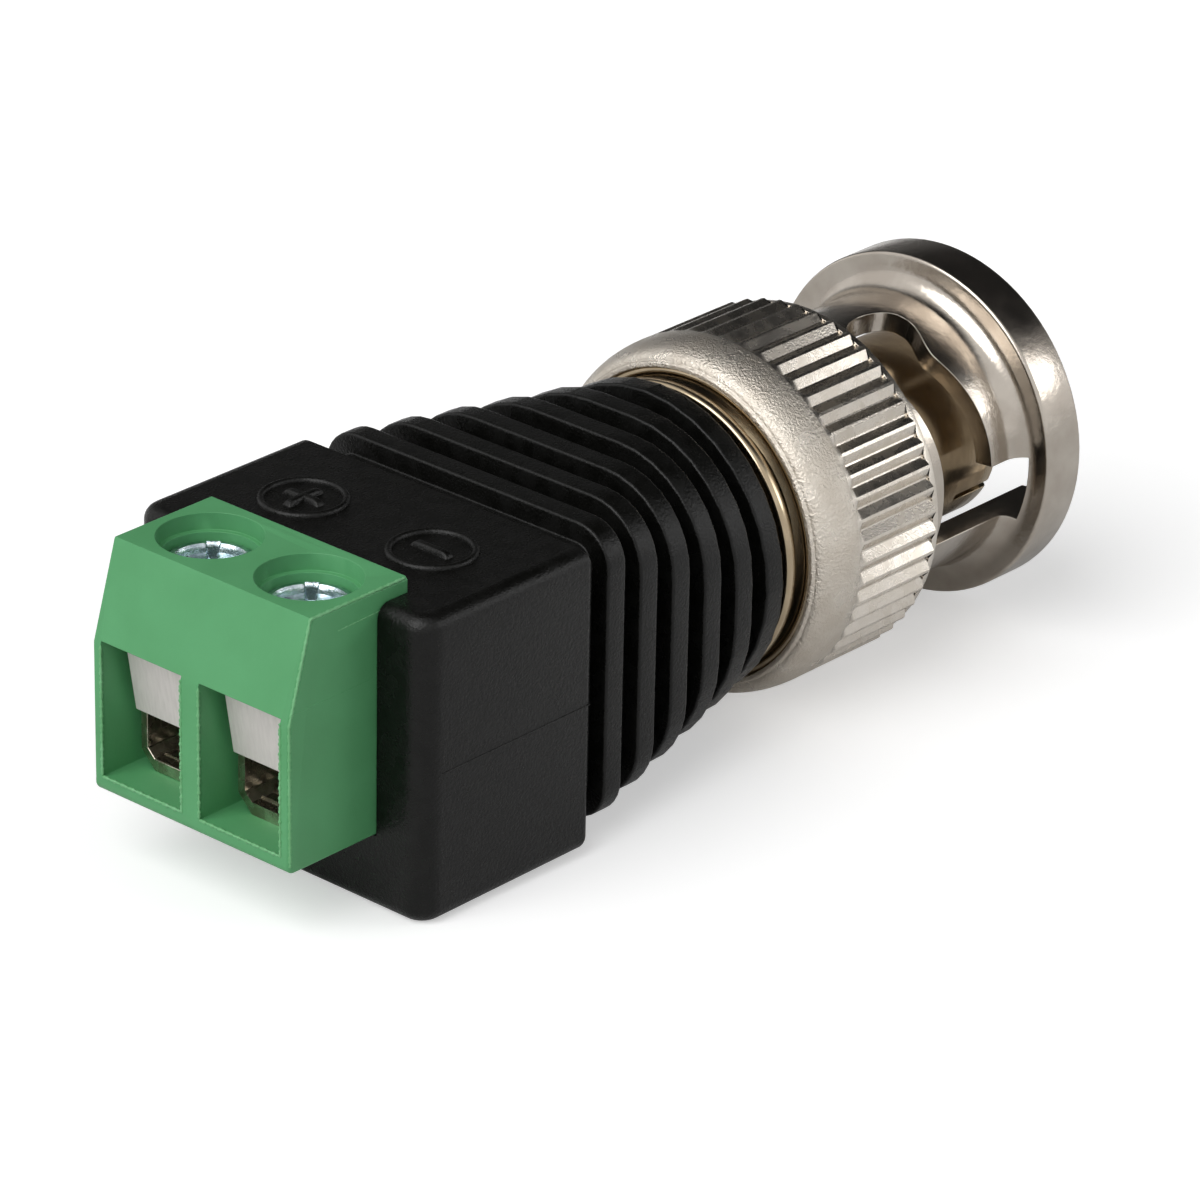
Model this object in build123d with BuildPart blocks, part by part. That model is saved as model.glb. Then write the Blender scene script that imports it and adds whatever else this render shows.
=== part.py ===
from build123d import *
import os
from math import cos, radians, sin

# Bayonet plug to two-way screw terminal adapter, in millimetres.
# Origin: on the plug's axis, in the mating plane at the front of the outer contact.
# +X points out of the plug, +Y is the positive pole's side and +Z is up.

# Driving dimensions

# Outer contact and plug body
sleeve_bore = 3.5
sleeve_wall = 0.53
sleeve_length = 10.5
sleeve_edge = 0.15
slit_width = 0.35
slit_length = 2.2
slit_count = 4
slit_angle = -26.0
body_flange_length = 1.2
body_flange_height = 1.35
hub_length = 3.3
hub_wall = 1.5
collar_height = 1.2
collar_length = 0.6
collar_edge = 0.15
neck_step = 0.9
neck_length = 0.62
tail_wall = 1.0
tail_length = 7.78
lip_radius = 1.6
lip_length = 1.0
lip_setback = 2.5

# Centre contact and insulators
pin_radius = 0.675
pin_setback = 0.3
pin_tip_length = 0.8
pin_tip_radius = 0.25
pin_shoulder_radius = 1.1
cup_radius = 0.9
cup_wall = 0.45
cup_depth = 1.5
cup_length = 3.5
insulator_setback = 2.5
insulator_well_wall = 1.05
insulator_well_depth = 4.0
rear_insulator_length = 8.0

# Bayonet nut
nut_overhang = 1.3
nut_length = 16.0
nut_wall = 0.6
nut_jack_gap = 0.92
nut_rear_step = 0.7
nut_rear_chamfer = 0.1
nut_shoulder_length = 1.4
nut_edge = 0.15
bore_lead = 0.3
knurl_setback = 2.05
knurl_length = 4.65
knurl_depth = 0.3
knurl_runout = 0.4
knurl_teeth = 51
knurl_top_share = 0.46
knurl_bottom_share = 0.12
knurl_phase = 19.65
knurl_rim_length = 0.4
knurl_rim_step = 0.15
nut_neck_wall = 0.85
neck_fillet = 0.9
flange_length = 2.1
flange_height = 1.45

# Bayonet slots
slot_width = 3.0
slot_entry_angle = -9.3
slot_entry_width = 2.66
slot_entry_cut = 1.35
cam_start_angle = 5.0
cam_start = 2.6
cam_crest_angle = 55.0
cam_rise = 0.95
detent_angle = 76.0
detent_relief = 0.6
detent_radius = 1.3

# Spring set behind the plug body's flange
spring_length = 1.8
spring_strip = 0.3
spring_waves = 3
spring_gap_angle = 8.0
spring_steps = 36
spring_inner_gap = 0.35
spring_outer_gap = 0.25
washer_thickness = 0.35
ring_wire = 0.3
ring_groove_depth = 0.1
ring_gap_angle = 24.0
gasket_length = 1.8

# Moulded body
box_length = 9.06
box_width = 15.0
box_top = 5.9
box_bottom = -6.2
box_corner = 1.0
box_edge = 0.4
rib_count = 6
rib_width = 1.0
rib_pitch = 2.02
groove_depth = 0.85
first_rib_half_width = 7.3
first_rib_half_height = 6.1
first_rib_corner = 1.6
last_rib_cover = 0.35
chamber_half_width = 4.2
chamber_top = 3.0
chamber_floor = 0.15
chamber_clearance = 0.5

# Terminal housing
pole_pitch = 5.08
housing_protrusion = 4.5
housing_depth = 6.14
housing_top = 6.5
housing_height = 9.975
housing_front_height = 6.075
housing_slope = 1.15
housing_corner = 0.35
housing_edge = 0.12
window_wall = 0.46
window_sill = 0.675
window_height = 5.53
window_depth = 2.5
chamber_back = 0.54
well_setback = 3.65
well_radius = 2.025
well_step = 0.175
well_step_depth = 0.7

# Clamp of each pole
screw_radius = 1.3
screw_head_radius = 1.8
screw_head_height = 0.9
screw_head_depth = 1.0
screw_tip_edge = 0.2
screw_drive_width = 0.5
screw_drive_depth = 0.6
screw_cross_span = 2.4
cage_setback = 1.65
cage_width = 3.4
cage_wall = 0.35
cage_floor = 0.5
cage_roof = 0.75
cage_corner = 0.7
cage_front_gap = 0.05
ridge_height = 0.1
ridge_pitch = 0.65
ridge_count = 5
ridge_setback = 0.55
tail_strip_width = 1.2
tail_strip_length = 3.0
guard_thickness = 0.25
guard_width = 3.3
guard_top = 2.3
guard_edge = -0.35
guard_lean = 0.45
guard_tongue_length = 3.6

# Solid links from the clamps to the contacts
link_radius = 0.4
link_overlap = 0.8
link_straight = 1.0

# Fits
running_gap = 0.1
thread_gap = 0.04
seat_gap = 0.05
press_gap = 0.0

# Places worked out from the driving dimensions

flange_front_x = -sleeve_length
flange_rear_x = flange_front_x - body_flange_length
collar_front_x = flange_rear_x - hub_length
collar_rear_x = collar_front_x - collar_length
moulding_front_x = collar_rear_x - neck_length
tail_rear_x = moulding_front_x - tail_length

sleeve_radius = sleeve_bore + sleeve_wall
hub_radius = sleeve_bore + hub_wall
tail_radius = sleeve_bore + tail_wall
neck_radius = tail_radius + neck_step
collar_radius = hub_radius + collar_height
last_rib_radius = collar_radius + last_rib_cover
body_flange_radius = hub_radius + body_flange_height
insulator_well_radius = sleeve_bore - insulator_well_wall
nut_bore = body_flange_radius + running_gap
knurl_radius = nut_bore + nut_wall + knurl_depth
nut_rear_rim = knurl_radius - nut_rear_step
knurl_rim_radius = knurl_radius - knurl_rim_step
nut_front_bore = sleeve_radius + nut_jack_gap
neck_outer = nut_front_bore + nut_neck_wall
flange_radius = neck_outer + flange_height
slot_entry_depth = nut_front_bore + slot_entry_cut
spring_inner = hub_radius + spring_inner_gap
spring_outer = nut_bore - spring_outer_gap

nut_front_x = nut_overhang
nut_rear_x = nut_front_x - nut_length
nut_seat_x = flange_front_x + running_gap
knurl_rear_x = nut_rear_x + knurl_setback
knurl_front_x = knurl_rear_x + knurl_length
rim_front_x = knurl_front_x + knurl_rim_length
nut_flange_x = nut_front_x - flange_length
ring_x = nut_rear_x + 0.1 + ring_wire
spring_front_x = flange_rear_x - seat_gap
spring_rear_x = spring_front_x - spring_length
washer_rear_x = spring_rear_x - seat_gap - washer_thickness

last_rib_x = moulding_front_x - rib_width / 2
first_rib_x = last_rib_x - (rib_count - 1) * rib_pitch
box_front_x = first_rib_x - rib_width / 2 - (rib_pitch - rib_width)
box_rear_x = box_front_x - box_length

housing_front_x = box_rear_x - housing_protrusion
housing_back_x = housing_front_x + housing_depth
housing_bottom = housing_top - housing_height
housing_width = 2 * pole_pitch
window_width = pole_pitch - 2 * window_wall
window_bottom = housing_bottom + window_sill
window_top = window_bottom + window_height
well_x = housing_front_x + well_setback
head_top = housing_top - screw_head_depth
head_seat = head_top - screw_head_height

cage_front_x = housing_front_x + cage_setback
cage_rear_x = housing_back_x - chamber_back
cage_length = cage_rear_x - cage_front_x
cage_top = window_top - 0.08
floor_top = window_bottom + cage_floor
poles = {"positive": pole_pitch / 2, "negative": -pole_pitch / 2}

os.makedirs("parts", exist_ok=True)


def outward(angle):
    """Unit vector away from the plug's axis: 0 degrees is -Y and 90 degrees is +Z."""
    return Vector(0, -cos(radians(angle)), sin(radians(angle)))


def axial_plane(angle):
    """Plane that holds the plug's axis, with x along the axis and y outward."""
    across = (0, -sin(radians(angle)), -cos(radians(angle)))
    return Plane(origin=(0, 0, 0), x_dir=(1, 0, 0), z_dir=across)


def tangent_plane(angle, radius):
    """Plane square to the outward direction, at a radius, with x along the axis."""
    return Plane(origin=outward(angle) * radius, x_dir=(1, 0, 0), z_dir=outward(angle))


def quarter_round(start, corner, end):
    """Points of a quarter ellipse from start to end that is tangent to both sides of the corner."""
    shares = [(1 - sin(radians(90 * step / 4)), 1 - cos(radians(90 * step / 4))) for step in range(5)]
    return [
        tuple(c + (a - c) * p + (b - c) * q for a, c, b in zip(start, corner, end)) for p, q in shares
    ]


def rib_section(index):
    """Half width, half height and corner radius of one rib, from the box's end to the round end."""
    share = index / (rib_count - 1)
    half_width = first_rib_half_width + (last_rib_radius - first_rib_half_width) * share
    half_height = first_rib_half_height + (last_rib_radius - first_rib_half_height) * share
    corner = first_rib_corner + (last_rib_radius - first_rib_corner) * share
    return half_width, half_height, min(corner, 0.999 * min(half_width, half_height))


# Moulded body: a box with six ribs on a core that turns from rounded rectangle to circle

with BuildPart() as body_moulding:
    with BuildSketch(Plane.YZ.offset(box_rear_x)):
        with Locations((0, (box_top + box_bottom) / 2)):
            Rectangle(box_width, box_top - box_bottom)
    extrude(amount=box_length)
    fillet(body_moulding.edges().filter_by(Axis.Z), radius=box_corner)
    chamfer(body_moulding.faces().filter_by(Axis.Z).edges(), length=box_edge)

    for index in range(rib_count):
        half_width, half_height, corner = rib_section(index)
        with BuildSketch(Plane.YZ.offset(first_rib_x + index * rib_pitch - rib_width / 2)):
            RectangleRounded(2 * half_width, 2 * half_height, corner)
        extrude(amount=rib_width)

    for index, x in ((0, box_front_x - box_edge), (rib_count - 1, moulding_front_x)):
        half_width, half_height, corner = rib_section(index)
        with BuildSketch(Plane.YZ.offset(x)):
            RectangleRounded(
                2 * (half_width - groove_depth),
                2 * (half_height - groove_depth),
                0.999 * max(corner - groove_depth, 0.5),
            )
    loft()

    # Pocket for the terminal housing, open at the top and the rear
    with BuildSketch(Plane.YZ.offset(box_rear_x)):
        with Locations((0, housing_bottom)):
            Rectangle(
                housing_width + 2 * seat_gap,
                box_top - housing_bottom + 1,
                align=(Align.CENTER, Align.MIN),
            )
    extrude(amount=housing_back_x - box_rear_x, mode=Mode.SUBTRACT)

    # Chamber for the links, and the bore that holds the plug body's tail
    with BuildSketch(Plane.YZ.offset(housing_back_x)):
        with Locations((0, housing_bottom + chamber_floor)):
            Rectangle(
                2 * chamber_half_width,
                chamber_top - housing_bottom - chamber_floor,
                align=(Align.CENTER, Align.MIN),
            )
    extrude(amount=tail_rear_x - chamber_clearance - housing_back_x, mode=Mode.SUBTRACT)
    with BuildSketch(Plane.YZ.offset(tail_rear_x - chamber_clearance)):
        Circle(tail_radius + press_gap)
    extrude(amount=tail_length + chamber_clearance, mode=Mode.SUBTRACT)

# Terminal housing: one green moulding with a sloped front, two wells and two wire windows

with BuildPart() as terminal_housing:
    with BuildSketch(Plane.XZ.offset(-housing_width / 2)):
        with BuildLine():
            Polyline(
                (housing_front_x, housing_bottom),
                (housing_front_x, housing_bottom + housing_front_height),
                (housing_front_x + housing_slope, housing_top),
                (housing_back_x, housing_top),
                (housing_back_x, housing_bottom),
                close=True,
            )
        make_face()
    extrude(amount=housing_width)
    front_bottom_edge = terminal_housing.edges().filter_by(Axis.Y).group_by(Axis.X)[0].sort_by(Axis.Z)[0]
    fillet(front_bottom_edge, radius=housing_corner)
    side_edges = terminal_housing.faces().filter_by(Axis.Y).edges()
    shown_edges = side_edges.filter_by_position(Axis.X, housing_front_x, housing_back_x - 0.1)
    chamfer(shown_edges, length=housing_edge)

    for y in poles.values():
        # Window, guide round the cage, and the slot for the cage's tail
        with BuildSketch(Plane.YZ.offset(housing_front_x)):
            with Locations((y, window_bottom)):
                Rectangle(window_width, window_height, align=(Align.CENTER, Align.MIN))
        extrude(amount=window_depth, mode=Mode.SUBTRACT)
        with BuildSketch(Plane.YZ.offset(housing_front_x)):
            with Locations((y, window_bottom)):
                Rectangle(cage_width + 2 * seat_gap, window_height, align=(Align.CENTER, Align.MIN))
        extrude(amount=housing_depth - chamber_back, mode=Mode.SUBTRACT)
        with BuildSketch(Plane.YZ.offset(housing_back_x)):
            with Locations((y, window_bottom)):
                Rectangle(
                    tail_strip_width + 2 * seat_gap,
                    cage_floor + seat_gap,
                    align=(Align.CENTER, Align.MIN),
                )
        extrude(amount=-2 * chamber_back, mode=Mode.SUBTRACT)
        # Stepped well over the screw
        with Locations((well_x, y, housing_top)):
            CounterBoreHole(
                radius=well_radius - well_step,
                counter_bore_radius=well_radius,
                counter_bore_depth=well_step_depth,
                depth=housing_top - window_top + 0.1,
            )

# Plug body: turned flange, hub and collar, with the slotted outer contact in front

with BuildPart() as plug_body:
    with BuildSketch(Plane.XY):
        with BuildLine():
            Polyline(
                (0, 0),
                (0, sleeve_radius - sleeve_edge),
                (-sleeve_edge, sleeve_radius),
                (flange_front_x, sleeve_radius),
                (flange_front_x, body_flange_radius),
                (flange_rear_x, body_flange_radius),
                (flange_rear_x, hub_radius),
                (collar_front_x, hub_radius),
                (collar_front_x, collar_radius - collar_edge),
                (collar_front_x - collar_edge, collar_radius),
                (collar_rear_x + collar_edge, collar_radius),
                (collar_rear_x, collar_radius - collar_edge),
                (collar_rear_x, neck_radius),
                (moulding_front_x, neck_radius),
                (moulding_front_x, tail_radius),
                (tail_rear_x, tail_radius),
                (tail_rear_x, 0),
                close=True,
            )
        make_face()
    revolve(axis=Axis.X)
    lip_front_x = flange_front_x - lip_setback
    lip_rear_x = lip_front_x - lip_length
    with BuildSketch(Plane.YZ):
        Circle(sleeve_bore)
    extrude(amount=lip_front_x, mode=Mode.SUBTRACT)
    with BuildSketch(Plane.YZ.offset(lip_front_x)):
        Circle(lip_radius)
    extrude(amount=-lip_length, mode=Mode.SUBTRACT)
    with BuildSketch(Plane.YZ.offset(tail_rear_x)):
        Circle(sleeve_bore)
    extrude(amount=lip_rear_x - tail_rear_x, mode=Mode.SUBTRACT)
    for index in range(slit_count):
        slit_plane = tangent_plane(slit_angle + index * 360 / slit_count, 0)
        with BuildSketch(slit_plane):
            Rectangle(slit_length, slit_width, align=(Align.MAX, Align.CENTER))
        extrude(amount=sleeve_radius + 1, mode=Mode.SUBTRACT)

# Insulators on both sides of the lip

front_insulator_length = -insulator_setback - lip_front_x
with BuildPart() as front_insulator:
    with BuildSketch(Plane.YZ.offset(lip_front_x)):
        Circle(sleeve_bore)
        Circle(pin_radius, mode=Mode.SUBTRACT)
    extrude(amount=front_insulator_length)
    with BuildSketch(Plane.YZ.offset(-insulator_setback)):
        Circle(insulator_well_radius)
    extrude(amount=-insulator_well_depth, mode=Mode.SUBTRACT)

with BuildPart() as rear_insulator:
    with BuildSketch(Plane.YZ.offset(lip_rear_x)):
        Circle(sleeve_bore)
        Circle(pin_radius, mode=Mode.SUBTRACT)
    extrude(amount=-rear_insulator_length)

# Centre contact: pointed pin, shoulder between the insulators and solder cup

cup_front_x = lip_rear_x - rear_insulator_length
cup_rear_x = cup_front_x - cup_length
with BuildPart() as centre_pin:
    with BuildSketch(Plane.XY):
        with BuildLine():
            Polyline(
                (-pin_setback, 0),
                (-pin_setback, pin_tip_radius),
                (-pin_setback - pin_tip_length, pin_radius),
                (lip_front_x, pin_radius),
                (lip_front_x, pin_shoulder_radius),
                (lip_rear_x, pin_shoulder_radius),
                (lip_rear_x, pin_radius),
                (cup_front_x, pin_radius),
                (cup_front_x, cup_radius),
                (cup_rear_x, cup_radius),
                (cup_rear_x, cup_radius - cup_wall),
                (cup_rear_x + cup_depth, cup_radius - cup_wall),
                (cup_rear_x + cup_depth, 0),
                close=True,
            )
        make_face()
    revolve(axis=Axis.X)

# Path of one bayonet slot: axial entry, rising cam and round detent, as a cutter

slot_floor = (sleeve_radius + nut_front_bore) / 2
slot_outer = neck_outer + 0.8
slot_entry_reach = cam_start + slot_width
cam_steps = 7


def cam_front(angle):
    """Place of the cam's front edge: the rise grows with the square of the turn, then eases to the detent."""
    if angle <= cam_crest_angle:
        share = max(0.0, (angle - cam_start_angle) / (cam_crest_angle - cam_start_angle))
        return -cam_start - cam_rise * share**2
    share = (angle - cam_crest_angle) / (detent_angle - cam_crest_angle)
    return -cam_start - cam_rise + detent_relief * (1 - cos(radians(180 * share))) / 2


with BuildPart() as lug_slot:
    ramp_turn = cam_crest_angle - slot_entry_angle
    ease_turn = detent_angle - cam_crest_angle
    ramp_angles = [slot_entry_angle + ramp_turn * step / cam_steps for step in range(cam_steps + 1)]
    ease_angles = [cam_crest_angle + ease_turn * step / 3 for step in (1, 2, 3)]
    for angle in ramp_angles + ease_angles:
        with BuildSketch(axial_plane(angle)):
            with Locations((cam_front(angle), slot_floor)):
                Rectangle(slot_width, slot_outer - slot_floor, align=(Align.MAX, Align.MIN))
    loft(ruled=True)
    with BuildSketch(tangent_plane(detent_angle, slot_floor)):
        with Locations((cam_front(detent_angle) - slot_width / 2, 0)):
            SlotOverall(slot_width, 2 * detent_radius)
    extrude(amount=slot_outer - slot_floor)
    with BuildSketch(tangent_plane(slot_entry_angle, slot_floor)):
        with Locations((-slot_entry_reach, 0)):
            Rectangle(slot_entry_reach + nut_front_x + 1, slot_entry_width, align=(Align.MIN, Align.CENTER))
    extrude(amount=slot_entry_depth - slot_floor)

# Bayonet nut: cast rear, straight knurl, rim, slotted neck and front flange

with BuildPart() as bayonet_nut:
    with BuildSketch(Plane.XY):
        with BuildLine():
            Polyline(
                (nut_rear_x, 0),
                (nut_rear_x, nut_rear_rim),
                *quarter_round(
                    (nut_rear_x + nut_rear_chamfer, nut_rear_rim + nut_rear_chamfer),
                    (nut_rear_x + nut_rear_chamfer, knurl_radius),
                    (nut_rear_x + nut_shoulder_length, knurl_radius),
                ),
                (knurl_rear_x, knurl_radius),
                (knurl_rear_x + knurl_runout, knurl_radius - knurl_depth),
                (knurl_front_x, knurl_radius - knurl_depth),
                (knurl_front_x, knurl_rim_radius),
                (rim_front_x - nut_edge, knurl_rim_radius),
                (rim_front_x, knurl_rim_radius - nut_edge),
                (rim_front_x, neck_outer),
                *quarter_round(
                    (nut_flange_x - neck_fillet, neck_outer),
                    (nut_flange_x, neck_outer),
                    (nut_flange_x, neck_outer + neck_fillet),
                ),
                (nut_flange_x, flange_radius - nut_edge),
                (nut_flange_x + nut_edge, flange_radius),
                (nut_front_x - nut_edge, flange_radius),
                (nut_front_x, flange_radius - nut_edge),
                (nut_front_x, 0),
                close=True,
            )
        make_face()
    revolve(axis=Axis.X)

    # Straight knurl: V grooves between flat-topped teeth, sloped out at the rear
    tooth_arc = 6.283185 * knurl_radius / knurl_teeth
    groove_root = knurl_radius - knurl_depth
    with BuildSketch(Plane.YZ.offset(knurl_rear_x)):
        Circle(knurl_radius)
        with PolarLocations(groove_root, knurl_teeth, start_angle=knurl_phase):
            Polygon(
                (0, -knurl_bottom_share * tooth_arc / 2),
                (0, knurl_bottom_share * tooth_arc / 2),
                (knurl_depth, (1 - knurl_top_share) * tooth_arc / 2),
                (2 * knurl_depth, (1 - knurl_top_share) * tooth_arc),
                (2 * knurl_depth, -(1 - knurl_top_share) * tooth_arc),
                (knurl_depth, -(1 - knurl_top_share) * tooth_arc / 2),
                align=None,
                mode=Mode.SUBTRACT,
            )
    extrude(amount=knurl_length)

    # Bores: ring groove and wide bore behind the seat, narrow bore in front
    ring_groove_radius = nut_bore + ring_groove_depth
    with BuildSketch(Plane.XY):
        with BuildLine():
            Polyline(
                (nut_rear_x, 0),
                (nut_rear_x, nut_bore + nut_edge),
                (nut_rear_x + nut_edge / 2, nut_bore),
                (ring_x - ring_wire, nut_bore),
                (ring_x - ring_wire, ring_groove_radius),
                (ring_x + ring_wire, ring_groove_radius),
                (ring_x + ring_wire, nut_bore),
                (nut_seat_x, nut_bore),
                (nut_seat_x, nut_front_bore),
                (nut_front_x - bore_lead, nut_front_bore),
                (nut_front_x, nut_front_bore + bore_lead),
                (nut_front_x, 0),
                close=True,
            )
        make_face()
    revolve(axis=Axis.X, mode=Mode.SUBTRACT)
    add(lug_slot.part, mode=Mode.SUBTRACT)
    add(lug_slot.part.rotate(Axis.X, 180), mode=Mode.SUBTRACT)

# Spring set: open ring in the nut's groove, flat washer, wave spring, and the gasket in front

with BuildPart() as retaining_ring:
    ring_centre_radius = ring_groove_radius - ring_wire
    with BuildSketch(axial_plane(-90 + ring_gap_angle / 2)):
        with Locations((ring_x, ring_centre_radius)):
            RegularPolygon(ring_wire, 8)
    revolve(axis=Axis.X, revolution_arc=360 - ring_gap_angle)

with BuildPart() as thrust_washer:
    with BuildSketch(Plane.YZ.offset(washer_rear_x)):
        Circle(nut_bore - running_gap)
        Circle(hub_radius + running_gap, mode=Mode.SUBTRACT)
    extrude(amount=washer_thickness)

with BuildPart() as wave_spring:
    spring_mid_x = (spring_front_x + spring_rear_x) / 2
    wave_height = (spring_length - spring_strip) / 2
    turn = 360 - spring_gap_angle
    for step in range(spring_steps + 1):
        angle = step * turn / spring_steps
        wave_x = spring_mid_x + wave_height * cos(radians(spring_waves * angle))
        with BuildSketch(axial_plane(angle)):
            with Locations((wave_x, spring_inner)):
                Rectangle(spring_strip, spring_outer - spring_inner, align=(Align.CENTER, Align.MIN))
    loft(ruled=True)

with BuildPart() as sealing_gasket:
    with BuildSketch(Plane.YZ.offset(flange_front_x)):
        Circle(nut_front_bore - running_gap)
        Circle(sleeve_radius, mode=Mode.SUBTRACT)
    extrude(amount=gasket_length)

# Clamp of each pole: cage with tail, screw with cross and slot, and wire guard

cage_half = cage_width / 2
cage_inner_half = cage_half - cage_wall
cage_inner_top = cage_top - cage_roof
inner_corner = cage_corner / 2
tail_end_x = cage_rear_x + tail_strip_length
guard_front_x = cage_front_x - cage_front_gap - guard_thickness
guard_tongue_width = cage_width - 2 * cage_corner
screw_tip = guard_edge + guard_thickness + seat_gap
clamp_parts = {}
for pole, y in poles.items():
    with BuildPart() as clamp_cage:
        with BuildSketch(Plane.YZ.offset(cage_front_x)):
            with Locations((y, 0)):
                Polygon(
                    (-cage_half, cage_top),
                    (-cage_half, window_bottom + cage_corner),
                    (-cage_half + cage_corner, window_bottom),
                    (cage_half - cage_corner, window_bottom),
                    (cage_half, window_bottom + cage_corner),
                    (cage_half, cage_top),
                    align=None,
                )
                Polygon(
                    (-cage_inner_half, cage_inner_top),
                    (-cage_inner_half, floor_top + inner_corner),
                    (-cage_inner_half + inner_corner, floor_top),
                    (cage_inner_half - inner_corner, floor_top),
                    (cage_inner_half, floor_top + inner_corner),
                    (cage_inner_half, cage_inner_top),
                    align=None,
                    mode=Mode.SUBTRACT,
                )
        extrude(amount=cage_length)
        with BuildSketch(Plane.XZ.offset(-y)):
            for index in range(ridge_count):
                with Locations((cage_front_x + ridge_setback + index * ridge_pitch, floor_top)):
                    Polygon((-ridge_height, 0), (0, ridge_height), (ridge_height, 0), align=None)
        extrude(amount=cage_inner_half - inner_corner, both=True)
        with BuildSketch(Plane.YZ.offset(cage_rear_x)):
            with Locations((y, window_bottom)):
                Rectangle(tail_strip_width, cage_floor, align=(Align.CENTER, Align.MIN))
        extrude(amount=tail_strip_length)
        with Locations((well_x, y, cage_top)):
            Hole(radius=screw_radius + thread_gap, depth=cage_roof + ridge_height)
    clamp_parts[f"clamp_cage_{pole}"] = clamp_cage.part

    with BuildPart() as wire_guard:
        with BuildSketch(Plane.XZ.offset(-y)):
            Polygon(
                (guard_front_x, guard_edge),
                (guard_front_x - guard_lean, guard_top),
                (guard_front_x - guard_lean + guard_thickness, guard_top),
                (guard_front_x + guard_thickness, guard_edge),
                align=None,
            )
        extrude(amount=guard_width / 2, both=True)
        with BuildSketch(Plane.XY.offset(guard_edge)):
            with Locations((guard_front_x + guard_thickness / 2, y)):
                Rectangle(guard_tongue_length, guard_tongue_width, align=(Align.MIN, Align.CENTER))
        extrude(amount=guard_thickness)
    clamp_parts[f"wire_guard_{pole}"] = wire_guard.part

    with BuildPart() as clamp_screw:
        with BuildSketch(Plane.XY.offset(screw_tip)):
            with Locations((well_x, y)):
                Circle(screw_radius)
        extrude(amount=head_seat - screw_tip)
        chamfer(clamp_screw.faces().sort_by(Axis.Z)[0].edges(), length=screw_tip_edge)
        with BuildSketch(Plane.XY.offset(head_seat)):
            with Locations((well_x, y)):
                Circle(screw_head_radius)
        extrude(amount=screw_head_height)
        with BuildSketch(Plane.XY.offset(head_top)):
            with Locations((well_x, y)):
                Rectangle(2 * screw_head_radius + 1, screw_drive_width)
                Rectangle(screw_drive_width, screw_cross_span)
        extrude(amount=-screw_drive_depth, mode=Mode.SUBTRACT)
    clamp_parts[f"clamp_screw_{pole}"] = clamp_screw.part

# Solid wire links: positive cage to centre contact, negative cage to the plug body's tail

link_z = floor_top + link_radius
link_start_x = tail_end_x - link_overlap
return_radius = (sleeve_bore + tail_radius) / 2 - 0.25
link_ends = {
    "signal_link": (poles["positive"], Vector(cup_rear_x + cup_depth, 0, 0)),
    "return_link": (poles["negative"], Vector(tail_rear_x, -return_radius, 0)),
}
link_parts = {}
for link, (y, end) in link_ends.items():
    bend_start = Vector(tail_end_x + link_straight, y, link_z)
    bend_end = end - Vector(cup_depth + link_straight, 0, 0)
    with BuildPart() as solid_link:
        with BuildLine() as route:
            Line((link_start_x, y, link_z), bend_start)
            Spline(bend_start, bend_end, tangents=((1, 0, 0), (1, 0, 0)))
            Line(bend_end, end)
        with BuildSketch(Plane.YZ.offset(link_start_x)):
            with Locations((y, link_z)):
                RegularPolygon(link_radius, 6)
        sweep(path=route.wire())
    link_parts[link] = solid_link.part

# Each piece in its own file

body_moulding.part.label = "body_moulding"
terminal_housing.part.label = "terminal_housing"
plug_body.part.label = "plug_body"
front_insulator.part.label = "front_insulator"
rear_insulator.part.label = "rear_insulator"
centre_pin.part.label = "centre_pin"
bayonet_nut.part.label = "bayonet_nut"
retaining_ring.part.label = "retaining_ring"
thrust_washer.part.label = "thrust_washer"
wave_spring.part.label = "wave_spring"
sealing_gasket.part.label = "sealing_gasket"

export_step(body_moulding.part, "parts/body_moulding.step")
export_step(terminal_housing.part, "parts/terminal_housing.step")
export_step(plug_body.part, "parts/plug_body.step")
export_step(front_insulator.part, "parts/front_insulator.step")
export_step(rear_insulator.part, "parts/rear_insulator.step")
export_step(centre_pin.part, "parts/centre_pin.step")
export_step(bayonet_nut.part, "parts/bayonet_nut.step")
export_step(retaining_ring.part, "parts/retaining_ring.step")
export_step(thrust_washer.part, "parts/thrust_washer.step")
export_step(wave_spring.part, "parts/wave_spring.step")
export_step(sealing_gasket.part, "parts/sealing_gasket.step")
for name, part in (clamp_parts | link_parts).items():
    part.label = name
    export_step(part, f"parts/{name}.step")
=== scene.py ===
"""Looks of the bayonet plug to screw terminal adapter: surfaces, finishes, light and camera.

Sizes are in millimetres in the model's own frame: the plug's axis is X, the mating plane is x = 0
and +Z is up. Angles about the axis are in degrees: 0 is the -Y side and 90 is the top.
"""

from contextlib import contextmanager

import bmesh
import bpy
import numpy as np
from mathutils import Matrix, Vector


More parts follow.
